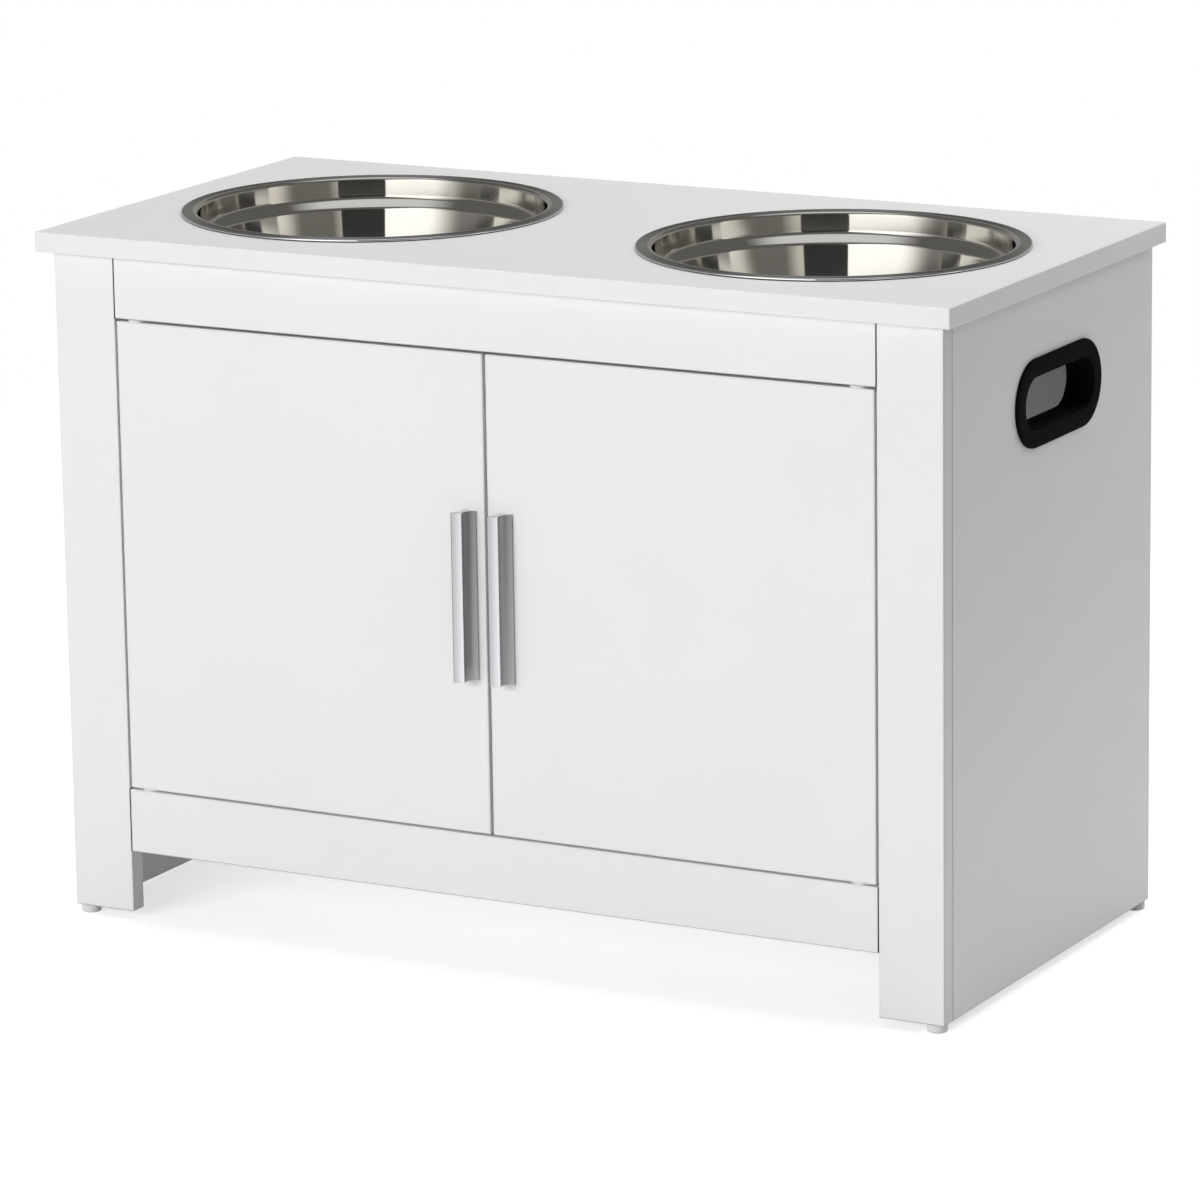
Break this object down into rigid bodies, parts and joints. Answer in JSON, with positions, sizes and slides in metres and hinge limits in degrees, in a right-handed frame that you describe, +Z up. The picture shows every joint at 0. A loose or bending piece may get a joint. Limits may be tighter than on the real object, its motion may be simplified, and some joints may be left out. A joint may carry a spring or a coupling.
{
  "type": "elevated dog feeder with storage",
  "caption": "Raised pet feeder: white panelled cabinet with inset double doors on pivot pins, lift-out steel bowls in its top and a moulded hand-hole in each side.",
  "frame": {"origin": "on the floor, under the centre of the top board", "axes": "+X to the right seen from the front, +Y to the back, +Z up; the doors open towards -Y"},
  "size_m": [0.6, 0.3035, 0.4228],
  "materials": {
    "white_laminate": "satin",
    "back_hardboard": "matte",
    "cam_zinc": "satin",
    "beech_dowel": "matte",
    "black_plastic": "satin",
    "white_plastic": "satin",
    "ferrite": "matte",
    "pivot_steel": "satin",
    "satin_aluminium": "satin",
    "bowl_steel": "polished"
  },
  "bodies": {
    "cabinet": {"top_board": "white_laminate", "left_side_panel": "white_laminate", "right_side_panel": "white_laminate", "left_stile": "white_laminate", "right_stile": "white_laminate", "top_rail": "white_laminate", "bottom_rail": "white_laminate", "floor_panel": "white_laminate", "back_panel": "back_hardboard", "cam_locks": "cam_zinc", "cam_bolts": "cam_zinc", "glide_nails": "cam_zinc", "catch_screws": "cam_zinc", "dowels": "beech_dowel", "left_grip": "black_plastic", "right_grip": "black_plastic", "left_grip_ring": "black_plastic", "right_grip_ring": "black_plastic", "glides": "white_plastic", "magnetic_catch": "white_plastic", "catch_magnets": "ferrite", "left_pivot_pins": "pivot_steel", "right_pivot_pins": "pivot_steel"},
    "left_leaf": {"left_door": "white_laminate", "left_pull": "satin_aluminium", "left_pull_screws": "cam_zinc", "left_strike_plate": "cam_zinc", "left_strike_screw": "cam_zinc", "left_pivot_bushes": "white_plastic"},
    "right_leaf": {"right_door": "white_laminate", "right_pull": "satin_aluminium", "right_pull_screws": "cam_zinc", "right_strike_plate": "cam_zinc", "right_strike_screw": "cam_zinc", "right_pivot_bushes": "white_plastic"},
    "left_dish": {"left_bowl": "bowl_steel"},
    "right_dish": {"right_bowl": "bowl_steel"}
  },
  "joints": [
    {"name": "left_door_swing", "type": "hinge", "parent": "cabinet", "child": "left_leaf", "pos_m": [-0.238, -0.1355, 0.2265], "axis": [0, 0, -1], "range_deg": [0, 130]},
    {"name": "right_door_swing", "type": "hinge", "parent": "cabinet", "child": "right_leaf", "pos_m": [0.238, -0.1355, 0.2265], "axis": [0, 0, 1], "range_deg": [0, 130]},
    {"name": "left_bowl_lift", "type": "slide", "parent": "cabinet", "child": "left_dish", "axis": [0, 0, 1], "range_m": [0, 0.09]},
    {"name": "right_bowl_lift", "type": "slide", "parent": "cabinet", "child": "right_dish", "axis": [0, 0, 1], "range_m": [0, 0.09]}
  ]
}
